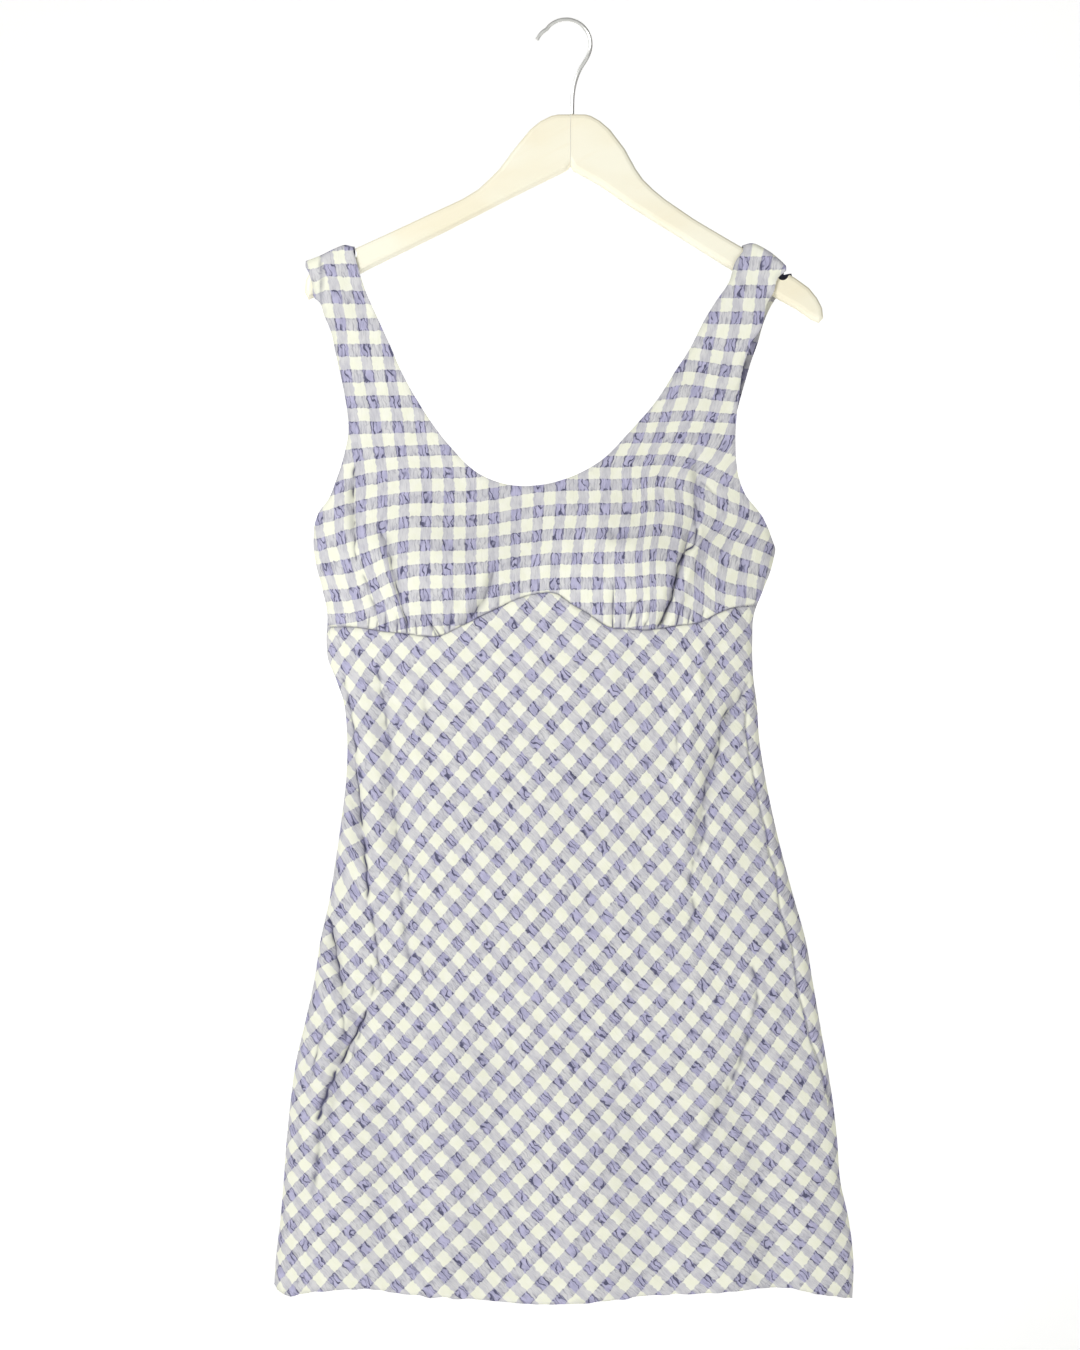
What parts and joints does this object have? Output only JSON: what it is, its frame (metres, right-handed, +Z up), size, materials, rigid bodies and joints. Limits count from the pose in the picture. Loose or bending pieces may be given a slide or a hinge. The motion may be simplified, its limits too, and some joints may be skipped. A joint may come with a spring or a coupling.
{
  "type": "gingham dress on a hanger",
  "caption": "Sleeveless A-line summer dress in crinkled gingham with wide straps and a scoop neck, hung on a plain wooden hanger with a wire hook.",
  "frame": {"origin": "inside top of the hook's bend, where a rail or peg holds the hanger", "axes": "+Z up, -Y the dress's front, +X to the right of someone who looks at the front"},
  "size_m": [0.5023, 0.0679, 1.1089],
  "materials": {
    "gingham": "crinkled cotton gingham, lavender and cream checks, matt",
    "wood": "cream painted wood, satin",
    "steel": "drawn wire, satin"
  },
  "bodies": {
    "root": {"bodice_front": "gingham", "bodice_back": "gingham", "skirt_front": "gingham", "skirt_back": "gingham", "hanger_arm_left": "wood", "hanger_arm_right": "wood", "hanger_hook": "steel"}
  },
  "joints": []
}
